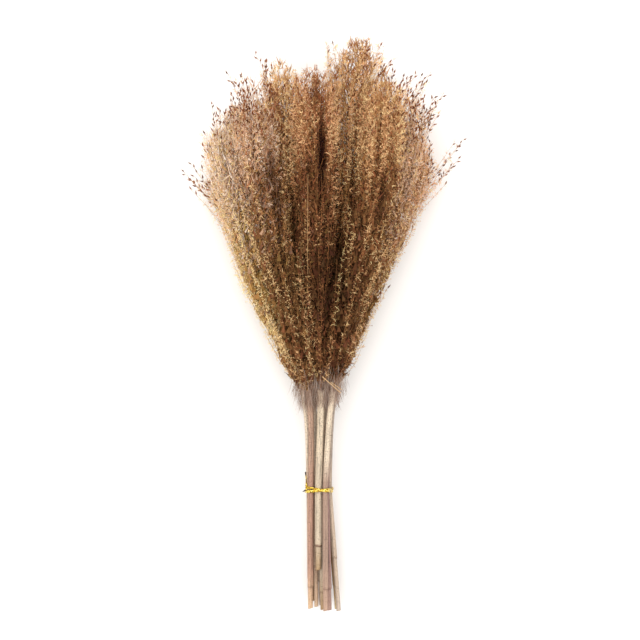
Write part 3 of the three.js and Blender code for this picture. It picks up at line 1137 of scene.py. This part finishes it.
def haze(reed, lines, sown):
    """Silky hairs among the florets of a head."""
    random = sown.random
    for line in lines:
        if random.random() > reed.haze:
            continue
        spots, ahead, _ = along_line(line, HAIR_GAP, random, skip=LOWEST)
        count = len(spots)
        directions = ahead + 0.5 * sideways(ahead, random, random.uniform(0, 6))
        sizes = random.uniform(0.7, 1.2, (count, 1))
        value = random.uniform(0.55, 0.85, count)
        crown = smooth(height_share(reed, spots[:, 1]), 0.82, 0.97)
        keep = random.random(count) < np.maximum(smooth(outward(spots), 0.55, 0.9), crown)
        sown.add("wisp", spots, directions, sizes, (ROSE + reed.hue_top) / 2, value, HAIR_RISE, keep)


trial = Sown(np.random.default_rng(1))
branch_florets(REEDS[0], REEDS[0].buds, test[-1], trial)
print("florets on the last branch of head 1:", [len(part[0]) for part in trial.gathered])

# %% [markdown]
# A few things lie on the bunch where the photograph shows them: woolly hairs over the sheaths' mouths,
# branches with wide open, pale florets, and thin torn straws. The branches and one straw are laid on the
# fan's upper side. Two torn shreds cross the neck, where the heights of the stems under them are known.

# %% Wool, torn straws and open branches
WOOL = (120, 160, 250, 460)  # hairs for a reed of each row, from the table up
STAR_CHAINS = (  # head and places
    (2, ((11, 47), (14, 66), (16, 90), (20, 112), (24, 136))),
    (3, ((24, 108), (26, 118), (26, 128))),
)
STRAWS = (  # head, places and radius
    (1, ((-8.6, 90), (-8.8, 128), (-8.4, 166)), 0.15),
)
SHREDS = (  # head, places with their height, and radius
    (2, ((2.6, 10.6, 54), (10, 4.2, 52), (17.2, -2.3, 45)), 0.32),
    (3, ((9.4, 6.2, 53), (17.9, 0.2, 46)), 0.24),
)
STRAW_VALUE, SHRED_VALUE = 0.66, 0.92


def wool(reed, sown):
    """The woolly hairs that hang over the mouth of the sheath."""
    random, count = sown.random, WOOL[reed.row]
    y = random.uniform(-10, 9, count) + np.maximum(foot_at(reed, 0), 0)
    out = 1.5 + random.random(count) * (1.2 + 4.5 * smooth(y, -12, 6))
    angle = random.uniform(0, 2 * math.pi, count)
    spots = beside(reed, y, angle, out)
    spread = random.uniform(0.0, 0.25, count)
    along = np.where(random.random(count) < 0.7, -1.0, 1.0)
    directions = np.stack([np.cos(angle) * spread, along, np.sin(angle) * spread], -1)
    sizes = random.uniform(0.6, 1.2, (count, 1))
    value = random.uniform(0.15, 0.75, count)
    sown.add("hair", spots, directions, sizes, random.normal(WOOLLY, 0.04, count), value, 0.1)


def surface_at(x, y):
    """Height of the fan's upper side at a place, from the reeds under it."""
    tops = []
    for reed in REEDS:
        across, height = middle(reed, y).T
        girth = 0.86 * floret_girth(reed, height_share(reed, y))
        rise = np.sqrt(np.maximum(girth**2 - (x - across) ** 2, 0))
        tops.append(np.where((np.abs(x - across) < girth) & (y < reed.top), height + rise, 0))
    return np.max(tops, axis=0)


def laid(points, lift):
    """A line through places seen in the photograph, in x and y from the neck, laid on the fan."""
    way = np.linspace(0, len(points) - 1, 24)
    x, y = (np.interp(way, range(len(points)), axis) for axis in zip(*points))
    return np.stack([x, y, surface_at(x, y) + lift], -1)


def star_chain(points, sown):
    """A branch of wide open, pale florets that lies on top of the head."""
    random = sown.random
    line = laid(points, 0.5)
    spots, ahead, _ = along_line(line, 5.0, random)
    count = len(spots)
    side = sideways(ahead, random, random.uniform(0, 6))
    side[:, 2] = 0.5 + np.abs(side[:, 2])
    value = random.uniform(0.65, 0.9, count)
    sown.add("star", spots, 0.7 * ahead + side, random.uniform(0.65, 0.95, (count, 1)), STRAW, value, 0.3)
    return line


def loose_straws(number):
    """The torn straws on one head: line, radius and brightness."""
    straws = [(laid(points, 1.0), radius, STRAW_VALUE) for owner, points, radius in STRAWS if owner == number]
    shreds = [(np.array(points), radius, SHRED_VALUE) for owner, points, radius in SHREDS if owner == number]
    return straws + shreds


print("height of the fan over the neck in mm:", surface_at(np.zeros(1), np.zeros(1)).round(1))

# %% [markdown]
# Now each head is grown: its branches are drawn, its layers filled and its branches dressed. The florets
# and the stalks become meshes, and one piece is joined from them. Every head has its own seed, so the
# bunch comes out the same each time.

# %% Growing the heads
SPRAY_BUDS = 0.6
STALK_POINTS = 30
STALK_RADII = (1.1, 0.3)
BRANCH_RADII = (0.18, 0.08)


def head(number, reed):
    """One whole head."""
    random = np.random.default_rng(number)
    sown = Sown(random)
    lines = branches(reed, random)
    for layer in (LOW_SHADE_BED if reed.row == 0 else SHADE_BED, *LAYERS):
        strew(reed, layer, sown)
    for line in lines:
        branch_florets(reed, reed.buds, line, sown)
    for line in sprays(number, reed):
        branch_florets(reed, SPRAY_BUDS, line, sown)
        lines.append(line)
    haze(reed, lines, sown)
    wool(reed, sown)
    lines += [star_chain(points, sown) for owner, points in STAR_CHAINS if owner == number]
    y = np.linspace(FIRST_BRANCH_Y - 10, reed.top - 22, STALK_POINTS)
    x, z = middle(reed, y).T
    drawn = [(np.stack([x, y, z], -1), np.linspace(*STALK_RADII, STALK_POINTS), 0.25)]
    drawn += [(line, np.linspace(*BRANCH_RADII, len(line)), random.uniform(0.3, 0.5)) for line in lines]
    drawn += [(line, np.full(len(line), radius), value) for line, radius, value in loose_straws(number)]
    meshes = [grown("florets", sown.cloud(), sow), grown("stalks", stalk_mesh(drawn, reed.hue), draw)]
    for mesh in meshes:
        lay_out(mesh)
    whole = join(f"head_{number:02d}", meshes, plume_look)
    off_the_table(whole.data)
    whole.data.calc_loop_triangles()
    print(whole.name, "triangles:", len(whole.data.loop_triangles))
    return whole


heads = []
for number, reed in enumerate(REEDS, 1):
    piece = head(number, reed)
    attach(piece, "root")
    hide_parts(f"plume_{number:02d}")
    heads.append(piece)
print("triangles of all heads:", sum(len(piece.data.loop_triangles) for piece in heads))

# %% [markdown]
# A stem is a straw: a hollow cane that was cut with shears, in a papery leaf sheath with one edge lapped
# over the other. The sheath starts a little above the cut and ends in a torn mouth at the neck. A cylinder
# would miss the lip and the hollow, so one profile is spun round the stem's axis, from the bottom of the
# hollow over the lip to the mouth. The seam and the ragged edges are pushed in afterwards, and the
# straight straw is bent to the reed's line last.

# %% The stems' shape
STRAW_SIDES = 22
BARE = 0.82  # the bare cane's share of the radius with its sheath
LAP = 0.09
MOUTH_DEPTH = 6.5
HOLLOW = 6
THICK_REED = 2.5


def straw_profile(reed):
    """Radius, height and darkness of the stem's skin, from the hollow at the cut to the mouth's bottom;
    darkness is browner edges and painted shade in the hollow and mouth.
    """
    bare, full = reed.radius * BARE, reed.radius
    cut, lip = reed.cut, reed.sheath
    edge = 0.85 if reed.radius > THICK_REED else 0.3
    # Painted shade: dark down in the hollow of the cut cane; the cut edge is browner.
    skin = [(0, cut + HOLLOW, 1), (0.5 * bare, cut + HOLLOW, 1)]
    skin += [(0.52 * bare, cut + 1, 1), (0.55 * bare, cut + 0.1, 0.5)]
    skin += [(0.6 * bare, cut, 0.2), (0.93 * bare, cut, 0.2), (bare, cut + 0.15, 0.1), (bare, cut + 1.5, 0)]
    skin += [(bare, height, 0) for height in np.linspace(cut + 4, lip - 1.5, 4)]
    skin += [(bare, lip + 0.2, edge), (0.97 * full, lip, edge), (full, lip + 0.3, edge), (full, lip + 1.6, 0)]
    skin += [(full, height, 0) for height in np.linspace(lip + 4, -10, 26)]
    skin += [(1.03 * full, -5, 0.1), (1.08 * full, -1.2, 0.3), (1.1 * full, 0, 0.6), (1.0 * full, 0, 0.8)]
    # Painted shade down inside the mouth.
    skin += [(0.9 * full, -2.5, 1), (0.7 * full, -MOUTH_DEPTH + 0.5, 1), (0, -MOUTH_DEPTH, 1)]
    return skin


def spun(skin, sides):
    """The profile spun round the upright axis, with its darkness and its length kept on each point."""
    form = bmesh.new()
    dark = form.verts.layers.float.new("dark")
    length = form.verts.layers.float.new("length")
    line = []
    so_far = 0.0
    for radius, height, darkness in skin:
        vert = form.verts.new((radius, 0, height))
        so_far += (vert.co - line[-1].co).length if line else 0
        vert[dark] = darkness
        vert[length] = so_far
        line.append(vert)
    edges = [form.edges.new(pair) for pair in zip(line, line[1:])]
    way = {"axis": (0, 0, 1), "cent": (0, 0, 0), "angle": 2 * math.pi}
    bmesh.ops.spin(form, geom=[*line, *edges], steps=sides, use_merge=True, **way)
    bmesh.ops.remove_doubles(form, verts=form.verts, dist=1e-5)
    return form


trial = spun(straw_profile(REEDS[0]), STRAW_SIDES)
print("faces of a stem:", len(trial.faces), "points:", len(trial.verts))
trial.free()

# %% [markdown]
# The straw is laid out on its map like a label peeled off a tube: round the stem to the right, along the
# stem upwards. Fibres are then simple stretched noise. The seam of the map is the edge of the lapped sheath.

# %% Bending and mapping a stem
SEAMS = (2.3, 3.7, 2.9, 1, 2, 3, 4, 5, 1, 2, 3.4, 4, 5, 1)
RAGGED, TORN, SLANT = 0.8, 2.2, 0.25


def wander(angle, seed):
    """A ragged edge round a stem, between -1 and 1."""
    return sum(math.sin(waves * angle + own * seed) for waves, own in ((2, 1), (5, 2.3), (9, 4.1))) / 3


def turn_of(vert, seam):
    """How far round the stem a point lies, from the seam, between 0 and 1."""
    return ((math.atan2(vert.co.y, vert.co.x) - seam) / (2 * math.pi) + 1e-4) % 1


def map_round(form, turns_of, total):
    """Writes the peeled-off map of a stem."""
    maps = [form.loops.layers.uv.new(name) for name in ("grain", "OFBake")]
    length = form.verts.layers.float["length"]
    for face in form.faces:
        round_it = [turns_of[loop.vert] for loop in face.loops if turns_of[loop.vert] is not None]
        crosses = round_it and max(round_it) - min(round_it) > 0.5
        centre_turn = sum(t + (crosses and t < 0.5) for t in round_it) / max(1, len(round_it))
        for loop in face.loops:
            turn = turns_of[loop.vert]
            across = centre_turn if turn is None else turn + (1 if crosses and turn < 0.5 else 0)
            for layer in maps:
                loop[layer].uv = (0.01 + 0.93 * across, 0.01 + 0.98 * loop.vert[length] / total)


def straw(number, reed, look):
    """One stem, bent to its reed's line."""
    skin = straw_profile(reed)
    form = spun(skin, STRAW_SIDES)
    length = form.verts.layers.float["length"]
    flank = form.verts.layers.float.new("flank")
    total = max(vert[length] for vert in form.verts)
    seam = -math.pi / 2 + SEAMS[number - 1]
    turns_of = {}
    for vert in form.verts:
        radius = math.hypot(vert.co.x, vert.co.y)
        turns_of[vert] = turn_of(vert, seam) if radius > 1e-4 else None
    map_round(form, turns_of, total)
    for vert in form.verts:
        angle = math.atan2(vert.co.y, vert.co.x)
        height = vert.co.z
        rim = reed.sheath
        lap = LAP * (turns_of[vert] or 0) - LAP / 2 if height > rim - 0.1 else 0
        flat = 1 - 0.05 * math.cos(2 * (angle - seam))
        stretch = flat * (1 + lap)
        ragged = RAGGED * smooth(height, rim + 3, rim) * smooth(height, rim - 0.6, rim - 0.1)
        torn = TORN * smooth(height, -4, 0)
        slant = SLANT * vert.co.x * smooth(height, reed.cut + 3, reed.cut)
        height += float(ragged + torn) * wander(angle, number) + float(slant)
        across, up = middle(reed, height)
        # Painted shade: the stem is browner and dimmer towards its underside and sides.
        vert[flank] = float(smooth(-vert.co.y / reed.radius, -0.75, 0.5))
        vert.co = placed([across + vert.co.x * stretch, height, up + vert.co.y * stretch])
    bmesh.ops.recalc_face_normals(form, faces=form.faces)
    mesh = bpy.data.meshes.new(f"stem_{number:02d}")
    form.to_mesh(mesh)
    form.free()
    mesh.shade_smooth()
    mesh.materials.append(look)
    off_the_table(mesh)
    return made_object(mesh.name, mesh)


print("a ragged edge round a stem:", [round(wander(angle, 1), 2) for angle in range(6)])

# %% [markdown]
# Straw dries to its own colour on every reed, from pink and mauve over tan to olive, changing along the stem.
# Fine fibres run lengthwise, small specks lie on them, and the cut and torn edges are browner. Painted shade
# lies on the underside, down in the hollow and the mouth, and along the lapped seam, which is also a brown
# edge. One function makes the material from three colours: at the foot, at the tie and at the neck.

# %% The stems' colours
MOUTH_COLOUR = (150, 118, 98)
# Painted shade on the stems' underside.
UNDERSIDE_SHADE_COLOUR = (196, 160, 140)
# Partly the lapped edge's brown, partly painted shade along it.
SEAM_EDGE_AND_SHADE_COLOUR = (88, 56, 44)
# Browner cut and torn edges, and painted shade in the hollow and the mouth.
EDGE_AND_HOLLOW_SHADE_COLOUR = (104, 64, 48)
STRETCHES = ((9, 2.2, 1), (26, 5, 1), (12, 120, 1))  # of the fibres, the fine fibres and the specks


def straw_material(name, foot, tie, neck):
    """Dry straw: its colour along the stem, times fibres and specks, browner edges, and painted shade below,
    in the hollow and mouth and at the seam.
    """
    look = Material(name, Specular_IOR_Level=0.4)
    grain = look.node("UVMap", uv_map="grain").out("UV")
    parts = look.node("SeparateXYZ", {"Vector": grain})
    across, length = parts.out("X"), parts.out("Y")
    dark, flank = (look.node("Attribute", attribute_name=mask).out("Fac") for mask in ("dark", "flank"))
    ways = [look.node("Mapping", {"Vector": grain, "Scale": scale}).out("Vector") for scale in STRETCHES]
    fibre = look.noise(ways[0], scale=2.2, detail=4)
    fine = look.noise(ways[1], scale=3, roughness=0.7)
    speck = look.noise(ways[2], scale=1.4, detail=2, roughness=0.7)
    stops = ((0.04, foot), (0.22, tie), (0.57, tie), (0.68, neck), (0.93, neck), (1, MOUTH_COLOUR))
    base = length.ramp(*stops)
    base = look.mix(0.9, base, fibre.ramp((0.34, 0.42), (0.48, 0.95), (0.62, 1)), "MULTIPLY")
    base = look.mix(0.8, base, fine.ramp((0.36, 0.5), (0.5, 1), (0.75, 1)), "MULTIPLY")
    flecked = length.ramp((0.5, 0.6), (0.75, 0.95))
    base = look.mix(flecked, base, speck.ramp((0.36, 0.2), (0.48, 1), (1, 1)), "MULTIPLY")
    # Painted shade on the stem's underside.
    base = look.mix(flank * 0.6, base, look.mix(1, base, linear(UNDERSIDE_SHADE_COLOUR), "MULTIPLY"))
    # The lapped sheath's edge as a dark line, partly its brown edge and partly painted shade in the step.
    seam = across.ramp((0.0, 0.75), (0.035, 0.0), (0.965, 0.0), (1.0, 0.75))
    base = look.mix(seam, base, linear(SEAM_EDGE_AND_SHADE_COLOUR))
    # Browner cut and torn edges, and painted shade in the hollow and the mouth.
    base = look.mix(dark, base, linear(EDGE_AND_HOLLOW_SHADE_COLOUR))
    bump = look.bump(fine * 0.6 + fibre * 0.4, depth=0.0004, strength=0.9)
    return look.shine(Base_Color=base, Roughness=0.5 + 0.25 * fibre, Normal=bump)


STRAW_COLOURS = {
    "pink": ((230, 196, 158), (184, 144, 124), (186, 152, 130)),
    "cream": ((172, 138, 96), (210, 193, 170), (226, 208, 182)),
    "mauve": ((196, 160, 144), (160, 126, 118), (200, 176, 152)),
    "tan": ((230, 200, 168), (206, 176, 150), (234, 216, 192)),
    "olive": ((216, 194, 146), (182, 152, 116), (206, 186, 152)),
    "ash": ((206, 188, 172), (208, 186, 164), (182, 166, 152)),
    "flesh": ((200, 166, 144), (176, 146, 128), (236, 218, 194)),
}
straw_looks = {name: straw_material(name + " straw", *colours) for name, colours in STRAW_COLOURS.items()}
stems = []
for number, reed in enumerate(REEDS, 1):
    piece = straw(number, reed, straw_looks[reed.straw])
    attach(piece, "root")
    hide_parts(f"culm_{number:02d}")
    stems.append(piece)
print("stems:", len(stems), "faces of the first:", len(stems[0].data.polygons))

# %% [markdown]
# The tie is a narrow strip of yellow foil with a wire in its middle, the kind that closes bags. It goes
# twice round the stems, and its ends are twisted and cut off on the left. A flat band would look like
# paper, so the strip gets a ridge over the wire and rounded edges. It is made straight, with the
# operators, and then wound round the outline of the stems, like the real one.

# %% The strip and its way round the stems
STRIP_WIDE = 2.1
STRIP_THICK = 0.45
RIDGE = 0.3
HALF_THICK = STRIP_THICK / 2 + RIDGE / 2
INNER_GAP, OUTER_GAP = 0.3, 0.75  # how far each turn's skin lies off the stems
TURN_STEPS = 96
CROSSING_X = 2.7
CROSSING_DROP = 0.9
KNOT = (-9.6, 6.4)
WIRE_END = 2.6
RIDGE_LINES = (-0.28, -0.1, 0.1, 0.28)
EDGE_THIN = 0.55
TURN_CUTS = 90


def strip(length, cuts):
    """A straight strip along X, from 0 to its length, with a ridge over its wire."""
    form = bmesh.new()
    along = bmesh.ops.create_cube(form, size=1)["verts"]
    bmesh.ops.scale(form, vec=(length, STRIP_WIDE, STRIP_THICK), verts=along)
    bmesh.ops.translate(form, vec=(length / 2, 0, 0), verts=along)
    for share in RIDGE_LINES:
        everything = [*form.verts, *form.edges, *form.faces]
        bmesh.ops.bisect_plane(form, geom=everything, plane_co=(0, share * STRIP_WIDE, 0), plane_no=(0, 1, 0))
    for vert in form.verts:
        if abs(vert.co.y) < 0.15 * STRIP_WIDE:
            vert.co.z += math.copysign(RIDGE / 2, vert.co.z)
        if abs(vert.co.y) > 0.45 * STRIP_WIDE:
            vert.co.z *= EDGE_THIN
    for i in range(1, cuts):
        everything = [*form.verts, *form.edges, *form.faces]
        bmesh.ops.bisect_plane(form, geom=everything, plane_co=(length * i / cuts, 0, 0), plane_no=(1, 0, 0))
    return form


def way_round(gap):
    """The taut outline of the bound stems, pushed out by a gap: places and outward directions, as x and z."""
    angle = np.linspace(0, 2 * math.pi, TURN_STEPS, endpoint=False) - math.pi / 2
    out = np.stack([np.cos(angle), np.sin(angle)], -1)
    centres = np.concatenate([middle(reed, [TIE_Y]) for reed in REEDS])
    radii = np.array([reed.radius * (1 + LAP / 2) for reed in REEDS])
    furthest = (out @ centres.T + radii).argmax(1)
    return centres[furthest] + out * (radii[furthest] + gap)[:, None], out


def wound(gap, slope):
    """One turn of the strip, its ends overlapping under the stems."""
    path, out = way_round(gap)
    path = np.vstack([path, path[:1]])
    out = np.vstack([out, out[:1]])
    lengths = np.concatenate([[0], np.cumsum(np.linalg.norm(np.diff(path, axis=0), axis=1))])
    form = strip(lengths[-1], TURN_CUTS)
    for vert in form.verts:
        along = vert.co.x
        crease = 0.06 * math.sin(along * 3.1) + 0.05 * math.sin(along * 7.7 + 1)
        x, z, *away = (np.interp(along, lengths, column) for column in (*path.T, *out.T))
        normal = Vector(away).normalized()
        thick = vert.co.z + crease * (abs(vert.co.y) / STRIP_WIDE) * 2
        y = TIE_Y - CROSSING_DROP + slope * (x - CROSSING_X) + vert.co.y * (1 + 0.08 * math.sin(along * 2.3))
        vert.co = (x + normal.x * thick, y, z + normal.y * thick)
    return form


def tail(length, lean, lift, twist):
    """A twisted end of the strip, with its bared wire."""
    form = strip(length, max(8, round(length * 2)))
    bare = form.verts.layers.float.new("bare")
    turn = Matrix.Rotation(-lean, 3, "Z")
    at = Vector((KNOT[0], TIE_Y - CROSSING_DROP + 0.4, bundle_z(TIE_Y) + KNOT[1]))
    for vert in form.verts:
        share = vert.co.x / length
        vert[bare] = float(vert.co.x > length - WIRE_END)
        narrow = 0.6 if vert[bare] else 0.8
        angle = twist * share
        wide, thick = vert.co.y * narrow, vert.co.z
        bent = Vector((
            -vert.co.x,
            wide * math.cos(angle) - thick * math.sin(angle),
            lift * share**2 - wide * math.sin(angle) - thick * math.cos(angle),
        ))
        vert.co = turn @ bent + at
    return form


inner = wound(INNER_GAP + HALF_THICK, slope=-0.16)
print("faces of one turn:", len(inner.faces))
outer = wound(OUTER_GAP + HALF_THICK, slope=0.1)
ends = [tail(3.6, lean=-0.5, lift=0.4, twist=1.6), tail(14, lean=1.5, lift=3.6, twist=2.6)]

# %% [markdown]
# Foil is a thin metal skin on plastic: yellow gold, glossy and full of fine creases that catch the light.
# Their shade and glints are also painted into the gold. The snipped wire at the ends is dark. Both are one
# material, with the dark tips masked by place.

# %% The tie's finish
# Painted light in the foil: dark brown crease shade up to pale painted glints.
GOLD_SHADE_AND_GLINTS = ((0.4, (66, 40, 8)), (0.47, (176, 132, 20)), (0.55, (228, 194, 44)), (0.66, (255, 244, 150)))
WIRE_COLOUR = (24, 18, 12)
tie_mesh = bpy.data.meshes.new("tie")
whole = bmesh.new()
for form in (inner, outer, *ends):
    bmesh.ops.scale(form, vec=(MM, MM, MM), verts=form.verts)
    bmesh.ops.translate(form, vec=(NECK_X * MM, NECK_Y * MM, 0), verts=form.verts)
    bmesh.ops.recalc_face_normals(form, faces=form.faces)
    form.to_mesh(tie_mesh)
    whole.from_mesh(tie_mesh)
    form.free()
whole.to_mesh(tie_mesh)
whole.free()
tie_mesh.shade_smooth()
foil = Material("gold foil", Metallic=0.55, Specular_IOR_Level=0.6)
here = foil.node("TexCoord").out("Object")
crinkle = foil.noise(here, scale=800)
patch = foil.noise(here, scale=500, detail=2)
bare_wire = foil.node("Attribute", attribute_name="bare").out("Fac")
# Painted shade in the creases and painted highlights on them, from the same noise as the bumps.
gold = foil.mix(bare_wire, crinkle.ramp(*GOLD_SHADE_AND_GLINTS), linear(WIRE_COLOUR))
creases = foil.bump(crinkle, depth=0.0003, strength=0.8)
foil.shine(Base_Color=gold, Roughness=0.16 + 0.3 * patch, Normal=creases)
tie_mesh.materials.append(foil.made)
tie = made_object("tie", tie_mesh)
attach(tie, "root")
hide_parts("twist_tie")
print("faces of the tie:", len(tie_mesh.polygons))

# %% [markdown]
# What follows is the finish: the shapes that were repeated and their node trees go away.

# %% Finish
for shape in list(SHAPES.objects):
    bpy.data.objects.remove(shape)
bpy.data.collections.remove(SHAPES)
for tree in (sow, draw):
    bpy.data.node_groups.remove(tree)
